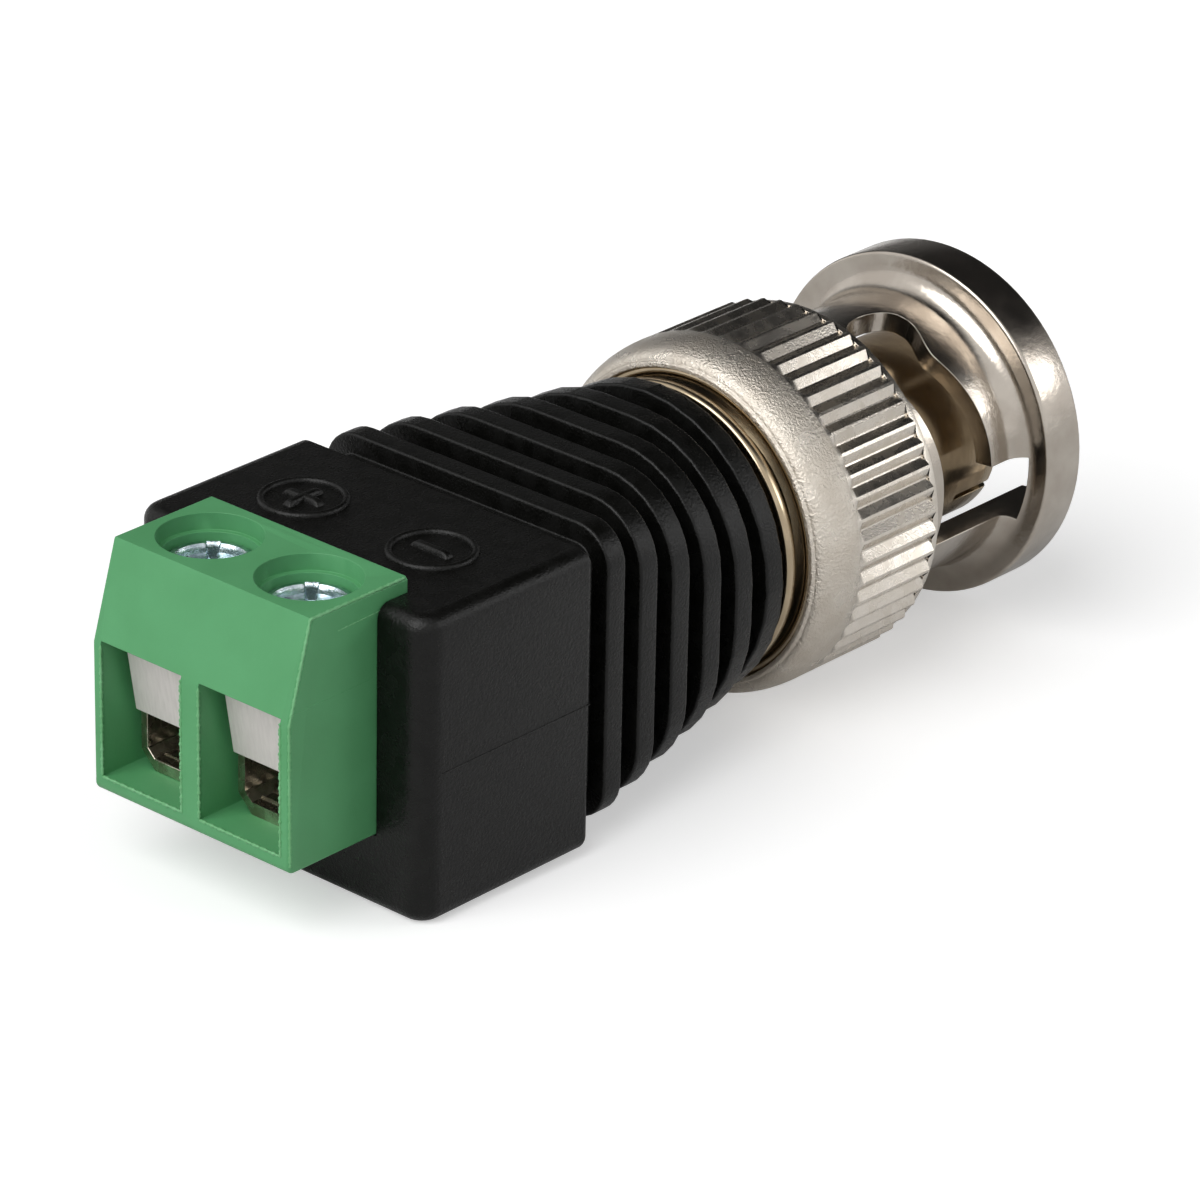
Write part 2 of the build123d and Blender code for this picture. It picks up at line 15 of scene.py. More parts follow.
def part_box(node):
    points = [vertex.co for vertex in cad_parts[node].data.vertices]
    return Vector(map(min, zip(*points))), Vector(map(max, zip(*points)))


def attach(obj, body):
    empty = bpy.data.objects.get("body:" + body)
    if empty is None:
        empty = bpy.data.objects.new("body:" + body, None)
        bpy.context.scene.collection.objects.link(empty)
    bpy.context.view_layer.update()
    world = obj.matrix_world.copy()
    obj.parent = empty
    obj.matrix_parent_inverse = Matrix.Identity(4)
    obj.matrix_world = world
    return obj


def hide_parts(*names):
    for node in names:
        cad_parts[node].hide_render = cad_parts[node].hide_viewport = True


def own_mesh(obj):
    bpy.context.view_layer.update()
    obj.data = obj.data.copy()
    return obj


MM = 0.001
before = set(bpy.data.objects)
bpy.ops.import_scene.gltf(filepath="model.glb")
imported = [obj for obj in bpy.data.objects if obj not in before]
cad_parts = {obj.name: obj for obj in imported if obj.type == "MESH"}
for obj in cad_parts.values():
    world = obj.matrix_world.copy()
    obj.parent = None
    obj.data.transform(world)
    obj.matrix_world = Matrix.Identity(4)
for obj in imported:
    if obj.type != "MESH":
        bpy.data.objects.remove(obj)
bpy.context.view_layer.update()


def corners(node):
    """Lowest and highest corner of a CAD node, in millimetres."""
    low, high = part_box(node)
    return np.array(low) / MM, np.array(high) / MM


# Places read from the frame

NUT_LOW, NUT_HIGH = corners("bayonet_nut")
NUT_REAR, NUT_FRONT = NUT_LOW[0], NUT_HIGH[0]
KNURL_RADIUS = NUT_HIGH[2]
BODY_LOW, BODY_HIGH = corners("body_moulding")
HOUSING_LOW, HOUSING_HIGH = corners("terminal_housing")
PLUG_LOW = corners("plug_body")[0]
RING_LOW, RING_HIGH = corners("retaining_ring")
PIN_LOW, PIN_HIGH = corners("centre_pin")
INSULATOR_HIGH = corners("front_insulator")[1]
SCREW_LOW, SCREW_HIGH = corners("clamp_screw_positive")
POLE_Y = (HOUSING_HIGH[1] - HOUSING_LOW[1]) / 4

# Nut

NUT_BORE = 6.45
NUT_FRONT_BORE = 4.95
BORE_STEP = -10.4
LIP_LENGTH, LIP_RADIUS = 0.12, 6.72
SHOULDER_LENGTH = 1.7
KNURL_START = NUT_REAR + 2.05
KNURL_END = KNURL_START + 4.65
KNURL_DEPTH = 0.24
KNURL_RUNOUT = 0.4
KNURL_TEETH = 51
KNURL_PHASE = 16.75
RIM_END = KNURL_END + 0.4
RIM_RADIUS = 7.2
RIM_ROUND = 0.18
NECK_RADIUS = 5.8
NECK_FILLET = 0.9
FLANGE_START = NUT_FRONT - 2.1
FLANGE_RADIUS = 7.25
FLANGE_ROUND = 0.16
MOUTH_CHAMFER = 0.3
SLOT_WIDTH = 3.0
SLOT_ENTRY = (-22.5, 4.0)
SLOT_ENTRY_RADIUS = 6.3
CAM_START, CAM_CREST, DETENT = 5.0, 55.0, 76.0
CAM_FRONT = -2.6
CAM_RISE = 0.95
DETENT_RELIEF = 0.6
DETENT_RADIUS = 1.3
DETENT_HALF = np.degrees(DETENT_RADIUS / NECK_RADIUS)
DETENT_END = DETENT + DETENT_HALF
SLEEVE_OVERLAP = 0.1
RING_HALF_TURN, RING_DOME = 168, 2.4
COLUMN_STEP = 3.5
PLAIN, ENTRY, CAM, END = range(4)  # what a column of the sleeve crosses

# Moulded body

BOX_LENGTH = 9.06
BOX_FRONT = BODY_LOW[0] + BOX_LENGTH
RIB_COUNT = 6
RIB_WIDTH = 1.0
RIB_PITCH = 2.02
GROOVE_DEPTH = 0.85
FIRST_RIB = np.array([7.3, 6.1, 1.6])
LAST_RIB = np.array([6.55, 6.55, 6.549])
BOX_TOP = 5.9
BOX_CORNER = 1.0
BOX_FRONT_CORNER = 0.3
BOX_EDGE = 0.6
POCKET_HALF = 5.13
POCKET_FLOOR = HOUSING_LOW[2]
POCKET_BACK = HOUSING_HIGH[0]
BOX_JOINT_Z = -0.42
MARK_X, MARK_Y = -32.6, 3.3
MARK_RADIUS = 1.62
MARK_WIDTH = 0.3
MARK_HEIGHT = 0.17
STROKE_REACH, STROKE_HALF = 0.95, 0.22
SUNK = 0.01  # how deep a raised sign or line sits in its base

# Terminals

SCREW_X = (SCREW_LOW[0] + SCREW_HIGH[0]) / 2
HEAD_RADIUS = (SCREW_HIGH[0] - SCREW_LOW[0]) / 2
HEAD_HEIGHT = 0.9
HEAD_ROUND, HEAD_EDGE_SHARE = 0.16, 0.16
HEAD_STEPS = 60
SHANK_RADIUS = 1.3
SLOT_HALF, SLOT_DEPTH = 0.28, 0.55
CROSS_REACH, CROSS_DEPTH = 1.66, 0.65
DISH_RADIUS, DISH_DEPTH = 1.5, 0.32
RECESS_TURN = 41.6
WINDOW_HALF = 2.08
WINDOW_FLOOR, WINDOW_TOP = -2.8, 2.6
SIDE_BEND_Z = 2.55
SIDE_JOINT_Z, UPPER_JOINT_Z = 3.0, 5.55

# Plug body

SLEEVE_RADIUS = 4.03
SLEEVE_BORE = 3.5
SLEEVE_BACK = -10.6
SLIT_WIDTH = 0.35
SLIT_LENGTH = 2.2
SLIT_ANGLE = -26.0
HUB_FRONT, HUB_STEP, HUB_RADIUS = -10.5, -11.7, 5.0
COLLAR_BACK, COLLAR_FRONT, COLLAR_RADIUS = -15.6, -15.0, 6.2
NECK_BACK, NECK_BACK_RADIUS = BODY_HIGH[0], 5.4
TAIL_RADIUS = 4.5
WEB_BACK, WEB_FRONT, WEB_BORE = -14, -13, 1.6
PIN_RADIUS, PIN_COLLAR = 0.675, 1.1
PIN_TAIL, PIN_TAIL_RADIUS, PIN_TAIL_BORE = -22, 0.9, 0.45
MOUTH_FLOOR, MOUTH_BORE = -6.5, 2.45

# Camera of the photograph

CAMERA_PLACE = np.array([-189.715, -150.946, 106.053])
CAMERA_HEADING = 41.571
CAMERA_DROP = 25.332
CAMERA_ROLL = 1.173
CAMERA_LENS = 194.137

# Floor: its size, its gap below the object, and how far it is lifted to white for the eye and for gloss

FLOOR_SIZE = 3000
FLOOR_MIDDLE = -20
FLOOR_GAP = 0.02
FLOOR_LIFT, FLOOR_GLOSS_LIFT = 0.44, 0.06

# Light: the soft level that reaches dull surfaces from all round, the key light from high behind the
# terminals, the weaker light from the plug's side, and the dark cards seen in gloss only

SOFT_LEVEL = 0.26
KEY_LEVEL = 0.74
KEY_SPREAD = 56
KEY_FROM = (-0.71, 0.0, 0.71)
SIDE_LEVEL = 0.12
SIDE_SPREAD = 21
SIDE_FROM = (0.65, -0.66, 0.38)
CARD_DISTANCE = 900
CARD_GLOW = 0.02


# Mesh helpers


def quads(rows, columns, wrap_rows, wrap_columns):
    """Index quads of a rows x columns grid, closed round in either direction where asked."""
    index = np.arange(rows * columns).reshape(rows, columns)
    if wrap_rows:
        index = np.vstack([index, index[:1]])
    if wrap_columns:
        index = np.hstack([index, index[:, :1]])
    return np.stack([index[:-1, :-1], index[1:, :-1], index[1:, 1:], index[:-1, 1:]], -1)


@contextmanager
def opened(mesh):
    """A mesh opened for editing, written back at the end."""
    shell = bmesh.new()
    shell.from_mesh(mesh)
    yield shell
    shell.to_mesh(mesh)
    shell.free()


def linked(name, data):
    """A new object that shows the data, in the scene."""
    piece = bpy.data.objects.new(name, data)
    bpy.context.scene.collection.objects.link(piece)
    return piece


def mesh_piece(name, points, faces):
    """One object from points in millimetres and an array of quads, welded, with normals outward."""
    mesh = bpy.data.meshes.new(name)
    mesh.from_pydata((points.reshape(-1, 3) * MM).tolist(), [], faces.reshape(-1, 4).tolist())
    with opened(mesh) as shell:
        bmesh.ops.remove_doubles(shell, verts=shell.verts, dist=1e-7)
        bmesh.ops.dissolve_degenerate(shell, edges=shell.edges, dist=1e-7)
        bmesh.ops.recalc_face_normals(shell, faces=shell.faces)
    return linked(name, mesh)


def closed(piece):
    """The same piece with every open ring of edges filled by one flat face."""
    with opened(piece.data) as shell:
        bmesh.ops.holes_fill(shell, edges=shell.edges)
        bmesh.ops.recalc_face_normals(shell, faces=shell.faces)
    return piece


def grid_piece(name, points, wrap_rows=False, wrap_columns=False):
    """A surface of two parameters: the array's first two axes are the parameters."""
    return mesh_piece(name, points, quads(*points.shape[:2], wrap_rows, wrap_columns))


def sheet_piece(name, outer, inner, keep):
    """A wall between two grids of one layout, first axis closed round.

    Cells where keep is False are holes. Every border between a kept cell and a hole, and both ends of the
    second axis, get a wall that joins the outer grid to the inner one.
    """
    rows, columns = outer.shape[:2]
    cells = quads(rows, columns, True, False)
    count = rows * columns
    faces = [cells[keep], cells[keep][:, ::-1] + count]
    padded = np.pad(keep, ((0, 0), (1, 1)))
    across = padded[:, 1:] != padded[:, :-1]
    along = keep != np.roll(keep, 1, axis=0)
    index = np.arange(count).reshape(rows, columns)
    following = np.roll(index, -1, axis=0)
    for start, end in ((index[across], following[across]), (index[:, :-1][along], index[:, 1:][along])):
        faces.append(np.stack([start, end, end + count, start + count], -1))
    points = np.concatenate([outer.reshape(-1, 3), inner.reshape(-1, 3)])
    return mesh_piece(name, points, np.concatenate(faces))


def softened(points, radii, steps=4):
    """A polyline whose corners are rounded.

    Each corner B with rounding d becomes (1-t)^2 A + 2t(1-t) B + t^2 C, where A and C lie d before and
    after B. The line counts as closed, so an open one leaves out the points at its ends.
    """
    points = np.asarray(points, float)
    reach = np.broadcast_to(np.asarray(radii, float), len(points))[:, None]
    before, after = np.roll(points, 1, 0) - points, np.roll(points, -1, 0) - points
    before /= np.maximum(np.linalg.norm(before, axis=1, keepdims=True), 1e-9)
    after /= np.maximum(np.linalg.norm(after, axis=1, keepdims=True), 1e-9)
    t = np.linspace(0, 1, steps)[None, :, None]
    a, b, c = (points + before * reach)[:, None], points[:, None], (points + after * reach)[:, None]
    return ((1 - t) ** 2 * a + 2 * t * (1 - t) * b + t**2 * c).reshape(-1, 2)


def on_axis(x, r, angles):
    """Points from arrays of place along the axis, radius and angle: (x, -r cos a, r sin a)."""
    a = np.radians(angles)
    return np.stack([x + 0 * a, -r * np.cos(a), r * np.sin(a)], -1)


def turned(profile, angles):
    """Points of a profile (x, r) carried round the axis to each angle."""
    return on_axis(profile[None, :, 0], profile[None, :, 1], angles[:, None])


def whole_turn(count):
    """Evenly spaced angles round a full turn, without the last one."""
    return np.linspace(0, 360, count, endpoint=False)


def lathe_piece(name, profile, count):
    """A turned piece: a closed profile (x, r) carried once round the axis."""
    return grid_piece(name, turned(profile, whole_turn(count)), True, True)


def copy_of(node, name):
    """A welded copy of a CAD node, to be softened along its edges."""
    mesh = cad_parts[node].data.copy()
    with opened(mesh) as shell:
        bmesh.ops.remove_doubles(shell, verts=shell.verts, dist=1e-6)
        bmesh.ops.dissolve_limit(shell, angle_limit=np.radians(0.5), verts=shell.verts, edges=shell.edges)
    return linked(name, mesh)


def soften_edges(piece, width, angle):
    """A small round along every edge sharper than the angle, with flat faces kept flat."""
    bevel = piece.modifiers.new("soft edges", "BEVEL")
    bevel.width = width * MM
    bevel.segments = 2
    bevel.limit_method = "ANGLE"
    bevel.angle_limit = np.radians(angle)
    bevel.use_clamp_overlap = True
    bevel.harden_normals = True
    return piece


def shade(piece, angle):
    """Smooth shading across edges gentler than the angle."""
    mesh = piece.data
    mesh.polygons.foreach_set("use_smooth", np.ones(len(mesh.polygons), bool))
    mesh.set_sharp_from_angle(angle=np.radians(angle))
    return piece


def place(piece, body, slot, material, *nodes):
    """The piece with its finish, riding on its body and standing for its CAD nodes."""
    piece.data.materials.clear()
    piece.data.materials.append(material)
    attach(piece, body)
    if nodes:
        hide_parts(*nodes)
    return piece


# Finishes


def add(tree, kind, operation=None, **values):
    """A new node of a kind, with its operation and the values of its named inputs."""
    node = tree.nodes.new("ShaderNode" + kind)
    if operation:
        node.operation = operation
    for name, value in values.items():
        node.inputs[name.replace("_", " ")].default_value = value
    return node


def grain_group():
    """Grain and mottling that the surfaces share: two noises on object coordinates, a height and a mask."""
    group = bpy.data.node_groups.new("surface grain", "ShaderNodeTree")
    for name, kind in (("Grain scale", "Float"), ("Mottle scale", "Float"), ("Stretch", "Vector")):
        group.interface.new_socket(name, in_out="INPUT", socket_type="NodeSocket" + kind)
    for name in ("Height", "Mask"):
        group.interface.new_socket(name, in_out="OUTPUT", socket_type="NodeSocketFloat")
    link = group.links.new
    inputs, outputs = group.nodes.new("NodeGroupInput"), group.nodes.new("NodeGroupOutput")
    stretched = add(group, "VectorMath", "MULTIPLY")
    grain = add(group, "TexNoise", Detail=4, Roughness=0.6)
    mottle = add(group, "TexNoise", Detail=3)
    link(add(group, "TexCoord").outputs["Object"], stretched.inputs[0])
    link(inputs.outputs["Stretch"], stretched.inputs[1])
    for noise, scale, result in ((grain, "Grain scale", "Height"), (mottle, "Mottle scale", "Mask")):
        link(stretched.outputs["Vector"], noise.inputs["Vector"])
        link(inputs.outputs[scale], noise.inputs["Scale"])
        link(noise.outputs["Fac"], outputs.inputs[result])
    return group


GRAIN = grain_group()


def new_material(name):
    """A material with its node tree, links and main shader."""
    material = bpy.data.materials.new(name)
    material.use_nodes = True
    tree = material.node_tree
    return material, tree, tree.links.new, tree.nodes["Principled BSDF"]


def finish(name, colour, second, roughness, metallic=0.0, grain=2500.0, mottle=300.0, depth=0.004,
           stretch=(1, 1, 1), specular=0.5):
    """A finish: colour and roughness run between two values with the mottling, and the grain is its height.

    The scales of grain and mottling are per metre, and depth is the grain's height in millimetres.
    """
    material, tree, link, shader = new_material(name)
    surface = tree.nodes.new("ShaderNodeGroup")
    surface.node_tree = GRAIN
    surface.inputs["Grain scale"].default_value = grain
    surface.inputs["Mottle scale"].default_value = mottle
    surface.inputs["Stretch"].default_value = stretch
    tone = add(tree, "Mix")
    tone.data_type = "RGBA"
    tone.inputs["A"].default_value = (*colour, 1)
    tone.inputs["B"].default_value = (*second, 1)
    wear = add(tree, "MapRange", From_Min=0.3, From_Max=0.7, To_Min=roughness[0], To_Max=roughness[1])
    spread = add(tree, "MapRange", From_Min=0.35, From_Max=0.65)
    bump = add(tree, "Bump", Distance=depth * MM)
    link(surface.outputs["Mask"], spread.inputs["Value"])
    link(spread.outputs["Result"], tone.inputs["Factor"])
    link(tone.outputs["Result"], shader.inputs["Base Color"])
    link(surface.outputs["Mask"], wear.inputs["Value"])
    link(wear.outputs["Result"], shader.inputs["Roughness"])
    link(surface.outputs["Height"], bump.inputs["Height"])
    link(bump.outputs["Normal"], shader.inputs["Normal"])
    shader.inputs["Metallic"].default_value = metallic
    shader.inputs["Specular IOR Level"].default_value = specular
    return material


black = finish("black moulding", (0.0025, 0.0025, 0.002), (0.005, 0.005, 0.0045), (0.22, 0.32),
               grain=9000, mottle=1200, depth=0.03, specular=0.23)
green = finish("green moulding", (0.085, 0.31, 0.125), (0.095, 0.335, 0.14), (0.42, 0.52),
               grain=5000, mottle=400, depth=0.006, specular=0.35)
# Paler green for thin lines on the housing: partly mould flash, partly a painted highlight along the edges
# they follow
flash_and_edge_highlight = finish("pale green flash and painted edge highlight", (0.17, 0.44, 0.21), (0.13, 0.38, 0.16), (0.45, 0.55),
                    grain=5000, mottle=900, depth=0.004, specular=0.35)
cast_nickel = finish("cast nickel", (0.64, 0.59, 0.52), (0.57, 0.515, 0.445), (0.24, 0.36), metallic=1.0,
                     grain=9000, mottle=900, depth=0.07)
knurl_nickel = finish("knurl nickel", (0.68, 0.63, 0.565), (0.60, 0.55, 0.48), (0.2, 0.32), metallic=1.0,
                      grain=12000, mottle=1500, depth=0.012)
# The sleeve's smoother finish is its own, but its colour is set darker than the barrel's nickel: painted
# shade for the darker reflections on the flange and neck
sleeve_nickel_with_painted_shade = finish("bright nickel with painted shade", (0.50, 0.455, 0.40), (0.42, 0.375, 0.325), (0.14, 0.26), metallic=1.0,
                       grain=2600, mottle=700, depth=0.012)
turned_nickel = finish("turned nickel", (0.48, 0.39, 0.27), (0.36, 0.285, 0.19), (0.14, 0.24), metallic=1.0,
                       grain=2500, mottle=700, depth=0.0015, stretch=(4, 1, 1))
zinc = finish("zinc screw", (0.60, 0.68, 0.71), (0.34, 0.42, 0.46), (0.16, 0.26), metallic=1.0,
              grain=7000, mottle=3500, depth=0.02)
cage_metal = finish("clamp nickel", (0.60, 0.55, 0.47), (0.28, 0.245, 0.19), (0.2, 0.32), metallic=1.0,
                    grain=5500, mottle=1500, depth=0.006)
guard_metal = finish("brushed guard", (0.74, 0.695, 0.675), (0.67, 0.63, 0.61), (0.42, 0.55), metallic=0.5,
                     grain=9000, mottle=3500, depth=0.006, stretch=(1, 2, 0.3))
gold = finish("gold", (0.83, 0.62, 0.24), (0.78, 0.56, 0.2), (0.14, 0.24), metallic=1.0, depth=0.003)
white_plastic = finish("white insulator", (0.74, 0.73, 0.69), (0.70, 0.69, 0.65), (0.45, 0.55), depth=0.004)
rubber = finish("seal rubber", (0.02, 0.02, 0.02), (0.03, 0.03, 0.03), (0.6, 0.75),
                depth=0.01, specular=0.3)
spring_steel = finish("spring steel", (0.5, 0.5, 0.48), (0.42, 0.42, 0.4), (0.2, 0.3), metallic=1.0)
tinned = finish("tinned wire", (0.6, 0.6, 0.58), (0.52, 0.52, 0.5), (0.25, 0.4), metallic=1.0)


# Bayonet nut


def cam_edge(angle):
    """Front edge of the slot.

    The rise grows with the square of the turn, then a half cosine eases into the detent.
    """
    rise = np.clip((angle - CAM_START) / (CAM_CREST - CAM_START), 0, 1) ** 2
    ease = np.clip((angle - CAM_CREST) / (DETENT - CAM_CREST), 0, 1)
    return CAM_FRONT - CAM_RISE * rise + DETENT_RELIEF * (1 - np.cos(np.pi * ease)) / 2


def tooth_columns():
    """Angles and depths of the knurl's V grooves, with flat crests and narrow flat roots, for the whole turn.
    """
    pitch = 360 / KNURL_TEETH
    profile = np.array([[0.04, 1], [0.43, 0], [0.57, 0], [0.96, 1]])
    angles = (profile[:, 0][None] + np.arange(KNURL_TEETH)[:, None]) * pitch + KNURL_PHASE
    depths = np.broadcast_to(profile[:, 1], angles.shape)
    return angles.ravel(), depths.ravel()


def nut_barrel():
    """Cast rear, straight knurl and rim.

    The outer radius at (angle, x) is the larger of the run-out cone and the crest less the groove's depth, so
    each groove ends in a sloped triangle at the rear.
    """
    angles, depths = tooth_columns()
    lip_x = NUT_REAR + LIP_LENGTH
    lip = softened([[NUT_REAR, NUT_BORE], [NUT_REAR, LIP_RADIUS - 0.07], [lip_x, LIP_RADIUS],
                    [lip_x, LIP_RADIUS + 0.08]], [0.06, 0.05, 0.03, 0.03])[2:12]
    quarter = np.radians(np.linspace(6, 90, 13))
    shoulder = np.stack([lip_x + SHOULDER_LENGTH * (1 - np.cos(quarter)),
                         LIP_RADIUS + (KNURL_RADIUS - LIP_RADIUS) * np.sin(quarter)], 1)
    knurl_x = np.concatenate([KNURL_START + KNURL_RUNOUT * np.linspace(0, 1, 7),
                              [KNURL_END - 0.02, KNURL_END]])
    cone = KNURL_RADIUS - KNURL_DEPTH * np.clip((knurl_x - KNURL_START) / KNURL_RUNOUT, 0, 1)
    toothed = np.maximum(cone[None], KNURL_RADIUS - KNURL_DEPTH * depths[:, None])
    front = softened([[KNURL_END, RIM_RADIUS], [RIM_END, RIM_RADIUS], [RIM_END, NECK_RADIUS - 0.1],
                      [RIM_END, NUT_BORE - 1.2]], [0.02, RIM_ROUND, 0.01, 0.01])[:-4]
    bore = [[RIM_END, NUT_FRONT_BORE], [BORE_STEP, NUT_FRONT_BORE], [BORE_STEP, NUT_BORE],
            [HUB_STEP - 0.3, NUT_BORE], [NUT_REAR + 0.1, NUT_BORE]]
    plain_rear = turned(np.concatenate([lip, shoulder]), angles)
    knurl = on_axis(knurl_x[None], toothed, angles[:, None])
    plain_front = turned(np.concatenate([front, bore]), angles)
    return grid_piece("nut_barrel", np.concatenate([plain_rear, knurl, plain_front], 1), True, True)


def sleeve_columns():
    """Angles of the sleeve's columns for the whole turn, what each one crosses, and how far each has eased.

    The last value runs from 0 at the detent's round end to 1 where the columns are straight again.
    """
    entry_in, entry_out = SLOT_ENTRY
    entry = np.linspace(entry_in, entry_out, 8)
    crest = np.arange(8, DETENT, 4)
    ease = np.linspace(0, 1, 6)
    after = np.arange(DETENT_END + 2 * COLUMN_STEP, entry_in + 180, COLUMN_STEP)
    angles = np.concatenate([entry[:1], entry, entry[-1:], crest, np.full(1 + len(ease), DETENT), after])
    crosses = np.repeat([PLAIN, ENTRY, CAM, END, PLAIN], [1, 8, len(crest) + 2, len(ease), len(after)])
    eased = np.concatenate([np.zeros(len(crest) + 11), ease, np.zeros(len(after))])
    return (np.concatenate([angles, angles + 180])[:, None], np.tile(crosses, 2)[:, None],
            np.tile(eased, 2)[:, None])


def nut_sleeve():
    """Neck, bayonet slots and flange as one wall between an outer and an inner grid.

    Columns are angles and rows run from the barrel to the mouth. The rows follow the slot's two edges, and
    the detent's round end bends its column outward by a half circle that fades over the next columns.
    """
    angles, crosses, eased = sleeve_columns()
    ones = np.ones_like(angles)
    front_edge = cam_edge(np.where(angles > DETENT_END + 90, angles - 180, angles))
    rear_edge = front_edge - SLOT_WIDTH
    back_rows, band_rows, neck_rows, fillet_rows = 4, 13, 3, 5
    back_x = RIM_END - SLEEVE_OVERLAP
    back = back_x + (rear_edge - back_x) * np.linspace(0, 1, back_rows + 1)[None, :-1]
    swing = np.linspace(-np.pi / 2, np.pi / 2, band_rows)[None]
    band = rear_edge + SLOT_WIDTH * np.where(crosses == END, (1 + np.sin(swing)) / 2,
                                             np.linspace(0, 1, band_rows)[None])
    neck_end = FLANGE_START - NECK_FILLET
    neck = front_edge + (neck_end - front_edge) * np.linspace(0, 1, neck_rows + 1)[None, 1:]
    cut = np.degrees(np.arccos((NECK_RADIUS + NECK_FILLET - SLOT_ENTRY_RADIUS) / NECK_FILLET))
    sweep = np.radians(np.concatenate([np.linspace(0, cut, fillet_rows + 1)[1:],
                                       np.linspace(cut, 90, 4)[1:]]))[None]
    fillet_x = neck_end + NECK_FILLET * np.sin(sweep)
    fillet_r = NECK_RADIUS + NECK_FILLET * (1 - np.cos(sweep))
    flange = softened([[FLANGE_START, NECK_RADIUS + NECK_FILLET], [FLANGE_START, FLANGE_RADIUS],
                       [NUT_FRONT, FLANGE_RADIUS], [NUT_FRONT, FLANGE_RADIUS - 0.5]],
                      [0.05, FLANGE_ROUND, FLANGE_ROUND, 0.05], 5)[5:-5]
    outer_x = np.hstack([back, band, neck, fillet_x * ones, flange[None, :, 0] * ones])
    straight = back_rows + band_rows + neck_rows
    outer_r = np.hstack([NECK_RADIUS * np.ones((len(angles), straight)), fillet_r * ones,
                         flange[None, :, 1] * ones])
    bent = np.zeros_like(outer_x)
    bent[:, back_rows:back_rows + band_rows] = DETENT_HALF * np.cos(swing) ** 0.8
    target = DETENT_END + COLUMN_STEP - DETENT
    turn = np.where(crosses == END, angles + bent * (1 - eased) + target * eased, angles)

    rows = np.arange(outer_x.shape[1])[None]
    cut_row = straight + fillet_rows - 1
    mouth = np.linspace(outer_x[0, cut_row], NUT_FRONT - MOUTH_CHAMFER, rows.size - cut_row - 1)[None]
    inner_x = np.hstack([outer_x[:, :cut_row + 1], mouth[:, 1:] * ones, NUT_FRONT * ones])
    inner_r = np.full_like(inner_x, NUT_FRONT_BORE)
    inner_r[:, -1] += MOUTH_CHAMFER
    inner_r = np.where((crosses == ENTRY) & (rows >= cut_row), SLOT_ENTRY_RADIUS, inner_r)

    following = np.roll(crosses, -1, 0)
    by_entry = (crosses == ENTRY) | (following == ENTRY)
    by_slot = ((crosses == CAM) & (following >= CAM)) | by_entry
    past_back = rows[:, :-1] >= back_rows
    in_slot = past_back & (rows[:, :-1] < back_rows + band_rows - 1)
    in_entry = past_back & (rows[:, :-1] < cut_row)
    keep = ~((by_slot & in_slot) | (by_entry & in_entry))
    return sheet_piece("nut_sleeve", on_axis(outer_x, outer_r, turn), on_axis(inner_x, inner_r, turn), keep)


barrel = shade(nut_barrel(), 24)
place(barrel, "nut", "nickel", cast_nickel, "bayonet_nut")
barrel.data.materials.append(knurl_nickel)
middle = np.array([face.center[0] for face in barrel.data.polygons])
barrel.data.polygons.foreach_set("material_index", (middle > (KNURL_START - 0.02) * MM).astype(int))
sleeve = shade(soften_edges(nut_sleeve(), 0.05, 45), 40)
# its nickel is set darker than the barrel's: painted shade on the flange and neck
place(sleeve, "nut", "nickel", sleeve_nickel_with_painted_shade, "bayonet_nut")

# Retaining ring: a round wire carried round most of a turn, closed by a small dome at each end


def wire_ring():
    """Circle of the wire swept round the axis; at the ends its radius falls as sqrt(1 - (1 - e)^2).

    Here e runs from 0 at the end itself to 1 where the dome is over.
    """
    wire = (RING_HIGH[0] - RING_LOW[0]) / 2
    centre_x, centre_r = (RING_HIGH[0] + RING_LOW[0]) / 2, RING_HIGH[1] - wire
    turn = np.linspace(90 - RING_HALF_TURN, 90 + RING_HALF_TURN, 150)[:, None]
    end = np.clip((RING_HALF_TURN - np.abs(turn - 90)) / RING_DOME, 0, 1)
    size = wire * np.sqrt(1 - (1 - end) ** 2 + 1e-6)
    a = np.radians(whole_turn(16))[None]
    points = on_axis(centre_x + size * np.cos(a), centre_r + size * np.sin(a), turn + 0 * a)
    return grid_piece("retaining_wire", points, False, True)


place(shade(wire_ring(), 60), "nut", "nickel", turned_nickel, "retaining_ring")

# Plug body


def outer_contact():
    """Slotted sleeve as a wall with its mouth rounded over the last rows.

    Columns fall in pairs at each slit's edges, and the cells between them are left out.
    """
    half = np.degrees(SLIT_WIDTH / 2 / SLEEVE_RADIUS)
    quarter = np.concatenate([[-half, half], np.linspace(half, 90 - half, 16)[1:-1]]) + SLIT_ANGLE
    angles = np.concatenate([quarter + 90 * k for k in range(4)])
    x = np.concatenate([np.linspace(SLEEVE_BACK, -SLIT_LENGTH, 5),
                        np.linspace(-SLIT_LENGTH, -0.22, 4)[1:], [-0.08, 0.0]])
    outer_r, inner_r = np.full(len(x), SLEEVE_RADIUS), np.full(len(x), SLEEVE_BORE)
    outer_r[-2:] -= 0.03, 0.14
    inner_r[-1] += 0.1
    keep = np.ones((len(angles), len(x) - 1), bool)
    keep[::len(quarter), 4:] = False
    outer, inner = (turned(np.stack([x, r], 1), angles) for r in (outer_r, inner_r))
    return sheet_piece("outer_contact", outer, inner, keep)


FLANGE_FIT, PRESS_FIT, PIN_FIT = NUT_BORE - 0.1, SLEEVE_BORE - 0.01, PIN_RADIUS + 0.015

